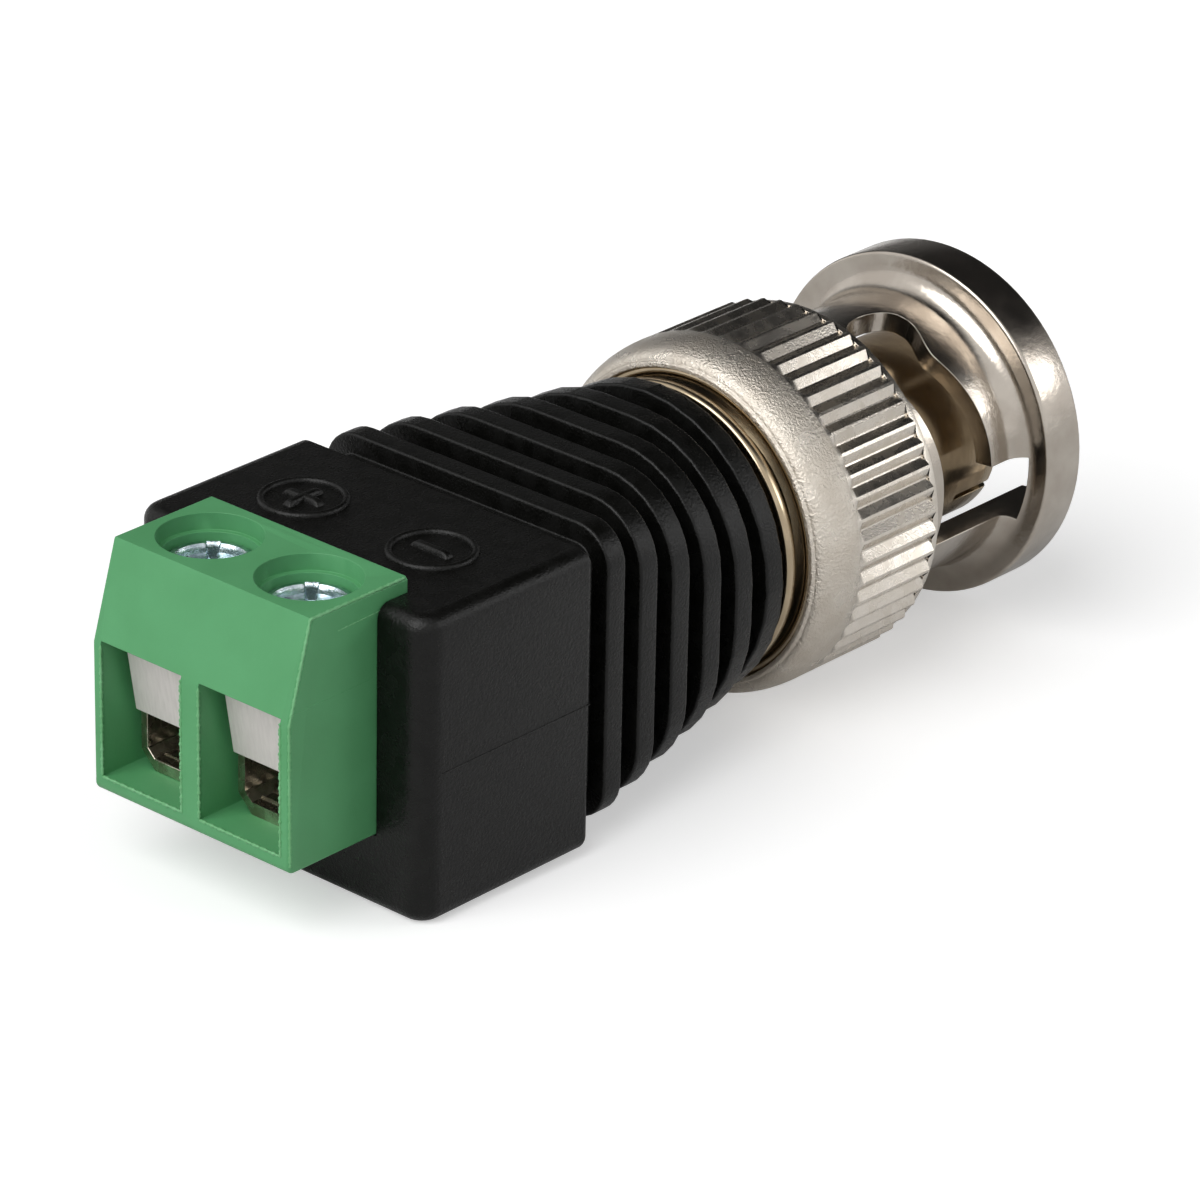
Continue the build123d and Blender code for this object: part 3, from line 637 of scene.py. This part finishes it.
hub_profile = softened([
    [HUB_FRONT, 3.9], [HUB_FRONT, FLANGE_FIT], [HUB_STEP, FLANGE_FIT], [HUB_STEP, HUB_RADIUS],
    [COLLAR_FRONT, HUB_RADIUS], [COLLAR_FRONT, COLLAR_RADIUS], [COLLAR_BACK, COLLAR_RADIUS],
    [COLLAR_BACK, NECK_BACK_RADIUS], [NECK_BACK, NECK_BACK_RADIUS], [NECK_BACK, TAIL_RADIUS],
    [PLUG_LOW[0], TAIL_RADIUS], [PLUG_LOW[0], SLEEVE_BORE], [WEB_BACK, SLEEVE_BORE], [WEB_BACK, WEB_BORE],
    [WEB_FRONT, WEB_BORE], [WEB_FRONT, SLEEVE_BORE], [SLEEVE_BACK, SLEEVE_BORE], [SLEEVE_BACK, 3.9]],
    [0.02, 0.12, 0.12, 0.02, 0.02, 0.22, 0.22, 0.08, 0.02, 0.02, 0.1, 0.05, 0.02, 0.02, 0.02, 0.02,
     0.01, 0.01])
place(shade(lathe_piece("plug_hub", hub_profile, 128), 40), "adapter", "nickel", turned_nickel, "plug_body")
contact = shade(soften_edges(outer_contact(), 0.03, 45), 40)
place(contact, "adapter", "nickel", turned_nickel, "plug_body")

pin_profile = softened([
    [PIN_HIGH[0], 0.0], [PIN_HIGH[0], 0.25], [PIN_HIGH[0] - 0.8, PIN_RADIUS], [WEB_FRONT, PIN_RADIUS],
    [WEB_FRONT, PIN_COLLAR], [WEB_BACK, PIN_COLLAR], [WEB_BACK, PIN_RADIUS], [PIN_TAIL, PIN_RADIUS],
    [PIN_TAIL, PIN_TAIL_RADIUS], [PIN_LOW[0], PIN_TAIL_RADIUS], [PIN_LOW[0], PIN_TAIL_BORE],
    [PIN_TAIL - 2, PIN_TAIL_BORE], [PIN_TAIL - 2, 0.0]],
    [0.0, 0.12, 0.2, 0.02, 0.05, 0.05, 0.02, 0.02, 0.05, 0.05, 0.05, 0.02, 0.0])
place(shade(lathe_piece("centre_contact", pin_profile, 48), 40), "adapter", "gold", gold, "centre_pin")

tube_profile = softened([
    [WEB_FRONT, PIN_FIT], [WEB_FRONT, PRESS_FIT], [INSULATOR_HIGH[0], PRESS_FIT],
    [INSULATOR_HIGH[0], MOUTH_BORE], [MOUTH_FLOOR, MOUTH_BORE], [MOUTH_FLOOR, PIN_FIT]],
    [0.01, 0.05, 0.1, 0.12, 0.1, 0.01])
tube = shade(lathe_piece("insulator_tube", tube_profile, 96), 40)
place(tube, "adapter", "white_insulator", white_plastic, "front_insulator")


# Moulded body: ribbed neck as one surface, and the box


def rounded_section(half, steps=9, runs=7):
    """Points of a rounded rectangle for arrays of half width, half height and corner radius.

    Each quarter is an arc about the corner's centre; the straight runs between arcs are divided evenly.
    """
    width, height, corner = (half[..., k, None] for k in range(3))
    arc = np.radians(np.linspace(0, 90, steps))
    parts = []
    for turn, (sy, sz) in enumerate(((1, 1), (-1, 1), (-1, -1), (1, -1))):
        a = arc + np.pi / 2 * turn
        y = sy * (width - corner) + corner * np.cos(a)
        z = sz * (height - corner) + corner * np.sin(a)
        parts.append(np.stack([y, z], -1))
    full = []
    t = np.linspace(0, 1, runs)[1:-1][:, None]
    for turn in range(4):
        end, start = parts[turn][..., -1:, :], parts[(turn + 1) % 4][..., :1, :]
        full += [parts[turn], end + (start - end) * t]
    return np.concatenate(full, -2)


def ribbed_neck():
    """Ribs and grooves as one surface of (place along the axis, place round the section).

    Each rib's profile is a softened step from the groove's floor to the rib's full section and back. The
    section goes from the first rib's to the last one's with the share s: half = first + (last - first) s -
    inset. A rib keeps its own share, and a groove's floor follows its place along the axis. Both end faces
    close inwards.
    """
    first_x = BOX_FRONT + (RIB_PITCH - RIB_WIDTH) + RIB_WIDTH / 2
    share = np.arange(RIB_COUNT) / (RIB_COUNT - 1)
    step = softened([[-RIB_PITCH / 2, 1], [-RIB_WIDTH / 2, 1], [-RIB_WIDTH / 2, 0], [RIB_WIDTH / 2, 0],
                     [RIB_WIDTH / 2, 1], [RIB_PITCH / 2, 1]], [0, 0.1, 0.14, 0.14, 0.1, 0], 5)
    x = (first_x + np.arange(RIB_COUNT)[:, None] * RIB_PITCH + step[None, :, 0]).ravel()
    inset = np.tile(step[:, 1] * GROOVE_DEPTH, RIB_COUNT)
    along = np.repeat(share, len(step))
    floor_share = np.clip((x - first_x) / (RIB_PITCH * (RIB_COUNT - 1)), 0, 1)
    along = np.where(inset > 0.5 * GROOVE_DEPTH, floor_share, along)
    keep = x < NECK_BACK - 0.001
    x, inset, along = (np.append(v[keep], v[keep][-1]) for v in (x, inset, along))
    x[0], x[-1] = BOX_FRONT - 0.5, NECK_BACK
    half = FIRST_RIB + (LAST_RIB - FIRST_RIB) * along[:, None] - inset[:, None]
    half[:, 2] = np.clip(half[:, 2], 0.5, None)
    section = rounded_section(half)
    section = np.concatenate([section[:1] * 0.2, section, section[-1:] * (NECK_BACK_RADIUS - 0.3) / 6.5,
                              section[-1:] * 0.2])
    x = np.concatenate([x[:1], x, [NECK_BACK, NECK_BACK]])[:, None, None]
    points = np.concatenate([np.broadcast_to(x, section.shape[:2] + (1,)), section], -1)
    return grid_piece("ribbed_neck", points, False, True)


place(shade(ribbed_neck(), 50), "adapter", "black_moulding", black, "body_moulding")


def moulded_box():
    """Box with rounded edges and the open pocket, as outlines in X and Y stacked along Z.

    An outline is a rounded rectangle drawn in by i = r - sqrt(r^2 - h^2) near the top and bottom, where h is
    the height into the rounded edge. Its last points run along the rear edge, or round the pocket above the
    floor, which two outlines of one height make flat.
    """
    arc = np.radians(np.linspace(0, 90, 9))
    rise = np.radians(np.linspace(0, 90, 7))
    drawn_in = BOX_EDGE * (1 - np.cos(rise))
    below = np.append(BODY_LOW[2] + BOX_EDGE * (1 - np.sin(rise[::-1])), [-4.9, POCKET_FLOOR])
    above = np.concatenate([[POCKET_FLOOR], np.linspace(-2.0, 4.0, 4),
                            BOX_TOP - BOX_EDGE + BOX_EDGE * np.sin(rise)])
    z = np.append(below, above)[:, None]
    inset = np.concatenate([drawn_in[::-1], np.zeros(len(z) - 2 * len(rise)), drawn_in])[:, None]
    notched = np.arange(len(z))[:, None] >= len(below)
    turns = [(BODY_LOW[0], 1, 1, BOX_CORNER, 90), (BOX_FRONT, -1, 1, BOX_FRONT_CORNER, 0),
             (BOX_FRONT, -1, -1, BOX_FRONT_CORNER, -90), (BODY_LOW[0], 1, -1, BOX_CORNER, -180)]
    arcs = []
    for x, inward, hand, radius, start in turns:
        a = np.radians(start + 90) - arc[None]
        corner = np.maximum(radius - inset, 0.05)
        reach = inset + corner
        cx = x + inward * np.where(inward > 0, reach, np.minimum(inset, BOX_FRONT_CORNER) + corner)
        cy = hand * (BODY_HIGH[1] - reach)
        arcs.append(np.stack([cx + corner * np.cos(a), cy + corner * np.sin(a)], -1))
    edge = BODY_LOW[0] + inset + 0 * arc[None, :1]
    inner = np.where(notched, POCKET_BACK, edge)
    half = POCKET_HALF + 0 * edge
    rear = [np.stack(pair, -1) for pair in ((edge, half), (edge, -half), (inner, -half), (inner, half))]
    outline = np.concatenate([rear[0], *arcs, *rear[1:]], 1)
    height = np.broadcast_to(z[:, :, None], outline.shape[:2] + (1,))
    return closed(grid_piece("moulded_box", np.concatenate([outline, height], -1), False, True))


box = shade(moulded_box(), 30)
for face in box.data.polygons:
    face.use_smooth = len(face.vertices) < 5  # the top and bottom, with their many corners, stay flat
place(box, "adapter", "black_moulding", black, "body_moulding")


def pole_mark(name, x, y, strokes):
    """Raised sign in a raised ring on the box's top.

    The ring is half an ellipse carried round: its radius is R + w/2 cos a and its height h sin a. A stroke's
    height is 1.3 h (1 - |u|^8)(1 - |v|^4) over its length u and width v.
    """
    turn = np.radians(whole_turn(72))[:, None]
    across = np.linspace(0, np.pi, 9)[None]
    radius = MARK_RADIUS + MARK_WIDTH / 2 * np.cos(across)
    height = BOX_TOP - SUNK + MARK_HEIGHT * np.sin(across)
    ring = np.stack([x + radius * np.cos(turn), y + radius * np.sin(turn), height + 0 * turn], -1)
    place(shade(grid_piece(name + "_ring", ring, True, False), 60), "adapter", "black_moulding", black)
    u, v = np.meshgrid(np.sin(np.linspace(-np.pi / 2, np.pi / 2, 41)), np.linspace(-1, 1, 15), indexing="ij")
    height = BOX_TOP - SUNK + 1.3 * MARK_HEIGHT * (1 - np.abs(u) ** 8) * (1 - np.abs(v) ** 4)
    for number, (long, wide) in enumerate(strokes, 1):
        stroke = np.stack([x + long[0] * u + wide[0] * v, y + long[1] * u + wide[1] * v, height], -1)
        place(shade(grid_piece(f"{name}_stroke_{number}", stroke), 60), "adapter", "black_moulding", black)


ALONG = (STROKE_REACH, 0), (0, STROKE_HALF)
ACROSS = (0, -STROKE_REACH), (STROKE_HALF, 0)
pole_mark("plus_mark", MARK_X, MARK_Y, (ALONG, ACROSS))
pole_mark("minus_mark", MARK_X, -MARK_Y, (ACROSS,))

# Terminal housing and clamps

housing = shade(soften_edges(copy_of("terminal_housing", "green_housing"), 0.05, 40), 35)
place(housing, "adapter", "green_moulding", green, "terminal_housing")


def recess_wall(inside):
    """Depth at a distance d inside a recess's edge: max(1.3 d, 6 d - 0.42), a chamfer over a steep wall."""
    return np.maximum(1.3 * inside, 6 * inside - 0.42)


def screw_piece(pole, side):
    """Screw as a turned shank and head, whose top is a height over radius and angle.

    The slot's arm at v across it is min(D, 7 (W - |v|)) deep and runs out past the rim. The cross's arm is
    min(D, 5 (W - |v|)) deep and ends in a recess wall at its reach, and so does a shallow round dish. The
    deepest of the three counts, and never less than zero.
    """
    head, tip = SCREW_HIGH[2], SCREW_LOW[2]
    seat = head - HEAD_HEIGHT
    edge = head + (seat - head) * HEAD_EDGE_SHARE
    flat_end = HEAD_RADIUS - HEAD_ROUND
    bend = np.radians(np.linspace(18, 90, 5))
    radius = np.concatenate([np.linspace(0.02, flat_end, HEAD_STEPS), flat_end + HEAD_ROUND * np.sin(bend),
                             [HEAD_RADIUS, SHANK_RADIUS, SHANK_RADIUS, SHANK_RADIUS - 0.2, 0.02]])[None]
    height = np.concatenate([np.full(HEAD_STEPS, head), edge + (head - edge) * np.cos(bend),
                             [seat, seat, tip + 0.2, tip, tip]])[None]
    on_head = np.arange(radius.size)[None] < HEAD_STEPS + len(bend)
    turn = np.radians(whole_turn(180))[:, None]
    across = radius * np.cos(turn - np.radians(RECESS_TURN))
    along = radius * np.sin(turn - np.radians(RECESS_TURN))
    slot = np.minimum((SLOT_HALF - np.abs(across)) * 7, SLOT_DEPTH)
    cross = np.minimum((SLOT_HALF - np.abs(along)) * 5, recess_wall(CROSS_REACH - np.abs(across)))
    dish = np.minimum(recess_wall(DISH_RADIUS - radius), DISH_DEPTH)
    depth = np.maximum(np.maximum(slot, np.minimum(cross, CROSS_DEPTH)), dish)
    depth = np.clip(depth, 0, None) * on_head
    x = SCREW_X + radius * np.cos(turn)
    y = side * POLE_Y + radius * np.sin(turn)
    z = np.where(depth > 0, np.minimum(height, head - depth), height + 0 * turn)
    return closed(grid_piece(f"screw_{pole}", np.stack([x, y, z], -1), True, False))


def ragged_line(name, points, size, wobble, slot, material):
    """A thin raised line with an uneven edge, such as flash left along a mould's joint; in the paler green it
    also paints a highlight along an edge.

    It is a tube along straight runs whose radius is size (1 + 0.55 w sin(9 s) sin(23 s + 1)) at a length s.
    """
    points = np.asarray(points, float)
    reach = np.concatenate([[0], np.cumsum(np.linalg.norm(np.diff(points, axis=0), axis=1))])
    s = np.linspace(0, reach[-1], int(reach[-1] / 0.06) + 2)
    line = np.stack([np.interp(s, reach, points[:, k]) for k in range(3)], 1)
    radius = size * (1 + wobble * 0.55 * np.sin(9 * s) * np.sin(23 * s + 1))
    radius *= np.where((s > 0) & (s < s[-1]), 1, 0.05)
    run = np.gradient(line, axis=0)
    run /= np.linalg.norm(run, axis=1, keepdims=True)
    side = np.cross(run, [0.31, 0.42, 0.85])
    side /= np.linalg.norm(side, axis=1, keepdims=True)
    over = np.cross(run, side)
    turn = np.radians(whole_turn(8))[None, :, None]
    offset = np.cos(turn) * side[:, None] + np.sin(turn) * over[:, None]
    tube = grid_piece(name, line[:, None] + radius[:, None, None] * offset, False, True)
    place(shade(tube, 60), "adapter", slot, material)


for pole, side in (("positive", 1), ("negative", -1)):
    cage = shade(soften_edges(copy_of(f"clamp_cage_{pole}", f"cage_{pole}"), 0.05, 40), 35)
    place(cage, "adapter", "clamp_nickel", cage_metal, f"clamp_cage_{pole}")
    guard = shade(soften_edges(copy_of(f"wire_guard_{pole}", f"guard_{pole}"), 0.04, 40), 35)
    place(guard, f"guard_{pole}", "guard_steel", guard_metal, f"wire_guard_{pole}")
    place(shade(screw_piece(pole, side), 30), f"screw_{pole}", "zinc_screw", zinc, f"clamp_screw_{pole}")
    left, right = side * POLE_Y - WINDOW_HALF, side * POLE_Y + WINDOW_HALF
    corner_y, corner_z = (left, left, right, right), (WINDOW_TOP, WINDOW_FLOOR, WINDOW_FLOOR, WINDOW_TOP)
    sill = [[HOUSING_LOW[0] + SUNK, y, z] for y, z in zip(corner_y, corner_z)]
    # the paler line round each window is partly flash, partly a painted highlight on the window's rim
    ragged_line(f"window_flash_and_highlight_{pole}", sill, 0.055, 1.0, "green_moulding", flash_and_edge_highlight)

# Flash along the housing's near edges, its joints, and the joint round the moulded body; the paler lines are
# also painted highlights along those edges

rear, front, top = HOUSING_LOW[0], HOUSING_HIGH[0], HOUSING_HIGH[2] - 0.04
edge_y, side_y, box_y = HOUSING_LOW[1] + 0.05, HOUSING_LOW[1] + SUNK, BODY_LOW[1] + 0.004
# paler line on the near edges: partly flash, partly a painted highlight where light catches them
ragged_line("housing_flash_and_highlight", [[rear + 0.1, edge_y, HOUSING_LOW[2] + 0.3], [rear + 0.06, edge_y, SIDE_BEND_Z],
                              [rear + 1.16, edge_y, top], [front - 0.1, edge_y, top]],
            0.06, 0.6, "green_moulding", flash_and_edge_highlight)
ragged_line("housing_joint", [[rear + 0.1, side_y, SIDE_JOINT_Z], [BODY_LOW[0], side_y, SIDE_JOINT_Z]],
            0.02, 0.8, "green_moulding", green)
# the upper joint is drawn in the paler green: partly flash, partly a painted highlight along it
ragged_line("housing_upper_joint", [[rear + 2.5, side_y, UPPER_JOINT_Z],
                                    [front - 0.2, side_y, UPPER_JOINT_Z + 0.1]],
            0.025, 1.0, "green_moulding", flash_and_edge_highlight)
ragged_line("moulding_joint", [[BODY_LOW[0] + 0.95, box_y, BOX_JOINT_Z],
                               [BOX_FRONT - 0.05, box_y, BOX_JOINT_Z]],
            0.025, 0.3, "black_moulding", black)

# The wave spring as a copy of its CAD node with a mesh of its own; on the real plug it is pressed flat
# against the body as the nut is pulled forward

spring = shade(copy_of("wave_spring", "spring_wave"), 35)
place(spring, "adapter", "spring_steel", spring_steel, "wave_spring")
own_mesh(spring)

# Nodes whose shape stays as it is

for node, material in (("rear_insulator", white_plastic), ("sealing_gasket", rubber),
                       ("thrust_washer", spring_steel), ("signal_link", tinned), ("return_link", tinned)):
    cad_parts[node].data.materials.clear()
    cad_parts[node].data.materials.append(material)


# Floor, light and camera


def stage_floor(material):
    """A square floor just under the box's rear bottom edge and the rear end of the knurl."""
    back = np.array([BODY_LOW[0] + 0.5, BODY_LOW[2]])
    front = np.array([KNURL_START, -KNURL_RADIUS])
    slope = (front - back) / np.linalg.norm(front - back)
    height = back[1] + (FLOOR_MIDDLE - back[0]) * slope[1] / slope[0] - FLOOR_GAP
    middle = np.array([FLOOR_MIDDLE, 0, height])
    along = np.array([slope[0], 0, slope[1]]) * FLOOR_SIZE / 2
    across = np.array([0, 1, 0]) * FLOOR_SIZE / 2
    floor = grid_piece("floor", np.array([[middle - along - across, middle + along - across],
                                          [middle - along + across, middle + along + across]]))
    floor.data.materials.append(material)


def white_to_the_eye():
    """Pale floor that keeps the object's shadow, lifted to white for the camera and glass, less so for gloss.

    Its glow is a x max(camera ray, transmission ray) + b x glossy ray.
    """
    material, tree, link, shader = new_material("pale floor")
    shader.inputs["Base Color"].default_value = (0.8, 0.8, 0.8, 1)
    shader.inputs["Roughness"].default_value = 0.8
    shader.inputs["Emission Color"].default_value = (1, 1, 1, 1)
    path = add(tree, "LightPath")
    direct = add(tree, "Math", "MAXIMUM")
    lifted = add(tree, "Math", "MULTIPLY")
    lifted.inputs[1].default_value = FLOOR_LIFT
    gloss = add(tree, "Math", "MULTIPLY_ADD")
    gloss.inputs[1].default_value = FLOOR_GLOSS_LIFT
    link(path.outputs["Is Camera Ray"], direct.inputs[0])
    link(path.outputs["Is Transmission Ray"], direct.inputs[1])
    link(direct.outputs["Value"], lifted.inputs[0])
    link(path.outputs["Is Glossy Ray"], gloss.inputs[0])
    link(lifted.outputs["Value"], gloss.inputs[2])
    link(gloss.outputs["Value"], shader.inputs["Emission Strength"])
    return material


def background():
    """White where the camera, gloss or glass looks at it, and a soft even light for everything else."""
    world = bpy.data.worlds.new("studio")
    world.use_nodes = True
    bpy.context.scene.world = world
    tree, link = world.node_tree, world.node_tree.links.new
    soft = tree.nodes["Background"]
    soft.inputs["Color"].default_value = (1, 1, 1, 1)
    soft.inputs["Strength"].default_value = SOFT_LEVEL
    white = add(tree, "Background", Color=(1, 1, 1, 1), Strength=1.0)
    path = add(tree, "LightPath")
    shiny, seen = add(tree, "Math", "MAXIMUM"), add(tree, "Math", "MAXIMUM")
    mix = add(tree, "MixShader")
    link(path.outputs["Is Glossy Ray"], shiny.inputs[0])
    link(path.outputs["Is Transmission Ray"], shiny.inputs[1])
    link(path.outputs["Is Camera Ray"], seen.inputs[0])
    link(shiny.outputs["Value"], seen.inputs[1])
    link(seen.outputs["Value"], mix.inputs["Fac"])
    link(soft.outputs["Background"], mix.inputs[1])
    link(white.outputs["Background"], mix.inputs[2])
    link(mix.outputs["Shader"], tree.nodes["World Output"].inputs["Surface"])


def dark_card(name, heading, rise, core, reach, darkness):
    """A dark curved card behind the object, seen only as a reflection in gloss.

    It is a cap of a sphere round one direction. It is clear at its reach, the rim's angle, and turns evenly
    dark from there to its core, so the reflection has no edge.
    """
    heading, rise = np.radians([heading, rise])
    middle = np.array([np.cos(rise) * np.cos(heading), np.cos(rise) * np.sin(heading), np.sin(rise)])
    side = np.cross(middle, [0, 0, 1])
    side /= np.linalg.norm(side)
    over = np.cross(side, middle)
    spread = np.radians(np.linspace(0.01, reach, 25))[:, None, None]
    turn = np.radians(whole_turn(48))[None, :, None]
    sideways = np.cos(turn) * side + np.sin(turn) * over
    points = CARD_DISTANCE * (np.cos(spread) * middle + np.sin(spread) * sideways)
    card = grid_piece(name, points, False, True)
    material, tree, link, shader = new_material(name)
    tree.nodes.remove(shader)
    dark = add(tree, "Emission", Strength=CARD_GLOW)
    clear, mix = add(tree, "BsdfTransparent"), add(tree, "MixShader")
    towards = add(tree, "VectorMath", "DOT_PRODUCT")
    towards.inputs[1].default_value = (middle / (CARD_DISTANCE * MM)).tolist()
    angle = add(tree, "Math", "ARCCOSINE")
    level = add(tree, "MapRange", From_Min=np.radians(core), From_Max=np.radians(reach),
                To_Min=darkness, To_Max=0.0)
    level.interpolation_type = "SMOOTHSTEP"
    link(add(tree, "TexCoord").outputs["Object"], towards.inputs[0])
    link(towards.outputs["Value"], angle.inputs[0])
    link(angle.outputs["Value"], level.inputs["Value"])
    link(level.outputs["Result"], mix.inputs["Fac"])
    link(clear.outputs["BSDF"], mix.inputs[1])
    link(dark.outputs["Emission"], mix.inputs[2])
    link(mix.outputs["Shader"], tree.nodes["Material Output"].inputs["Surface"])
    card.data.materials.append(material)
    card.visible_camera = card.visible_diffuse = card.visible_shadow = card.visible_transmission = False


def soft_lamp(name, level, spread, towards):
    """A distant lamp, the same over the whole floor; its spread is the angle that it fills, in degrees."""
    lamp = bpy.data.lights.new(name, "SUN")
    lamp.energy = level * np.pi
    lamp.angle = np.radians(spread)
    linked(name, lamp).rotation_euler = Vector(towards).to_track_quat("Z", "Y").to_euler()


def camera():
    """Camera of the photograph: heading and drop give its direction, and the roll turns it about that."""
    heading, drop, roll = np.radians([CAMERA_HEADING, CAMERA_DROP, CAMERA_ROLL])
    forward = np.array([np.cos(drop) * np.cos(heading), np.cos(drop) * np.sin(heading), -np.sin(drop)])
    level = np.array([np.sin(heading), -np.cos(heading), 0])
    above = np.cross(level, forward)
    right = level * np.cos(roll) + above * np.sin(roll)
    matrix = np.eye(4)
    matrix[:3, :3] = np.stack([right, np.cross(right, forward), -forward], 1)
    matrix[:3, 3] = CAMERA_PLACE * MM
    lens = bpy.data.cameras.new("photograph")
    lens.lens = CAMERA_LENS
    lens.sensor_width = 36
    lens.sensor_fit = "HORIZONTAL"
    lens.clip_start, lens.clip_end = 0.01, 10
    eye = linked("photograph", lens)
    eye.matrix_world = Matrix(matrix.tolist())
    bpy.context.scene.camera = eye


stage_floor(white_to_the_eye())
background()
dark_card("high_dark_card", 10, 50, 26, 60, 1.0)
dark_card("low_dark_card", 54, 16, 20, 42, 0.85)
soft_lamp("key", KEY_LEVEL, KEY_SPREAD, KEY_FROM)
soft_lamp("side", SIDE_LEVEL, SIDE_SPREAD, SIDE_FROM)
camera()
bpy.context.scene.view_settings.view_transform = "Standard"
